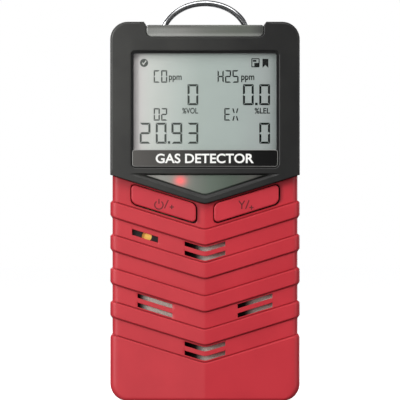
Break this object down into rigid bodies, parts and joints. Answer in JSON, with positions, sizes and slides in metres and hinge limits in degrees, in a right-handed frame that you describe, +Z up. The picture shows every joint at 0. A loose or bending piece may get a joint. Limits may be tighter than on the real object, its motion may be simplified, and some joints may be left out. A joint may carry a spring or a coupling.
{
  "type": "portable gas detector",
  "caption": "Hand-held gas detector with a display head, sheared keys, chevron grilles over gas sensors, a hanging ring and a sprung back clip.",
  "frame": {"origin": "on the flat base, half-way across the case and half-way between the crown of the front and the flat back", "axes": "+X to the right seen from the front, +Y from the display towards the back, +Z up from the base to the head"},
  "size_m": [0.065, 0.0442, 0.1381],
  "materials": {
    "head_black": "fine satin mould texture",
    "body_red": "soft-touch satin",
    "back_black": "spark-eroded mould texture",
    "seal_rubber": "matt",
    "screw_steel": "turned, satin",
    "window_clear": "polished",
    "name_plate": "printed, satin gloss",
    "frame_white": "moulded",
    "lcd_glass": "reflective display, grey-green",
    "light_guide": "polished",
    "elastomer": "matt",
    "lens_grey": "translucent, satin",
    "lens_green": "translucent, satin",
    "lamp_white": "moulded lamp",
    "lamp_red": "moulded lamp, lit",
    "board_green": "solder mask",
    "chip_black": "moulded",
    "connector_cream": "moulded",
    "flex_amber": "polyimide film",
    "switch_black": "moulded",
    "key_red": "soft-touch satin",
    "plunger_cream": "moulded",
    "carrier_grey": "moulded",
    "sensor_white": "moulded",
    "sensor_cream": "moulded",
    "sensor_blue": "moulded",
    "sensor_metal": "turned",
    "filter_pale": "felted dust filter",
    "sounder_black": "moulded",
    "sounder_brass": "rolled",
    "motor_steel": "drawn",
    "weight_brass": "sintered",
    "battery_blue": "shrink film",
    "foam_grey": "foam",
    "contact_gold": "gilded",
    "clip_steel": "stamped, satin",
    "spring_steel": "drawn wire",
    "ring_chrome": "polished wire"
  },
  "bodies": {
    "case": {"head_bezel": "head_black", "front_cover": "body_red", "rear_cover": "back_black", "case_seal": "seal_rubber", "case_screws": "screw_steel", "display_window": "window_clear", "name_plate": "name_plate", "lcd_frame": "frame_white", "lcd_panel": "lcd_glass", "lcd_backlight": "light_guide", "lcd_connector": "elastomer", "alarm_lens": "lens_grey", "status_lens": "lens_green", "alarm_leds": "lamp_white", "status_led": "lamp_red", "main_board": "board_green", "board_components": "chip_black", "board_screws": "screw_steel", "board_connector": "connector_cream", "flex_cable": "flex_amber", "power_switch": "switch_black", "menu_switch": "switch_black", "sensor_carrier": "carrier_grey", "co_sensor": "sensor_white", "h2s_sensor": "sensor_cream", "oxygen_sensor": "sensor_blue", "combustible_sensor": "sensor_metal", "upper_filter": "filter_pale", "right_filter": "filter_pale", "lower_filter": "filter_pale", "left_filter": "filter_pale", "upper_gasket": "seal_rubber", "right_gasket": "seal_rubber", "lower_gasket": "seal_rubber", "left_gasket": "seal_rubber", "sensor_board": "board_green", "sounder_case": "sounder_black", "sounder_diaphragm": "sounder_brass", "vibration_motor": "motor_steel", "motor_cradle": "switch_black", "battery_pack": "battery_blue", "battery_pad": "foam_grey", "charge_contacts": "contact_gold", "clip_base": "clip_steel", "clip_screws": "screw_steel", "clip_pin": "clip_steel", "clip_spring": "spring_steel"},
    "power_button": {"power_key": "key_red", "power_plunger": "plunger_cream"},
    "menu_button": {"menu_key": "key_red", "menu_plunger": "plunger_cream"},
    "clip": {"clip_lever": "clip_steel"},
    "ring": {"bail_ring": "ring_chrome"},
    "eccentric": {"motor_weight": "weight_brass", "motor_shaft": "motor_steel"}
  },
  "joints": [
    {"name": "power_press", "type": "slide", "parent": "case", "child": "power_button", "axis": [0, 1, 0], "range_m": [0, 0.0007], "stiffness_N_per_m": 1500, "springref_m": -0.0002},
    {"name": "menu_press", "type": "slide", "parent": "case", "child": "menu_button", "axis": [0, 1, 0], "range_m": [0, 0.0007], "stiffness_N_per_m": 1500, "springref_m": -0.0002},
    {"name": "clip_squeeze", "type": "hinge", "parent": "case", "child": "clip", "pos_m": [0, 0.0216, 0.098], "axis": [1, 0, 0], "range_deg": [0, 18], "stiffness_Nm_per_rad": 0.3, "springref_deg": -20.05, "deforming": ["clip_spring"]},
    {"name": "ring_swing", "type": "hinge", "parent": "case", "child": "ring", "pos_m": [0, 0.0193, 0.1195], "axis": [-1, 0, 0], "range_deg": [0, 140]},
    {"name": "motor_spin", "type": "hinge", "parent": "case", "child": "eccentric", "pos_m": [0.0262, -0.006, 0.057], "axis": [1, 0, 0], "continuous": true}
  ]
}
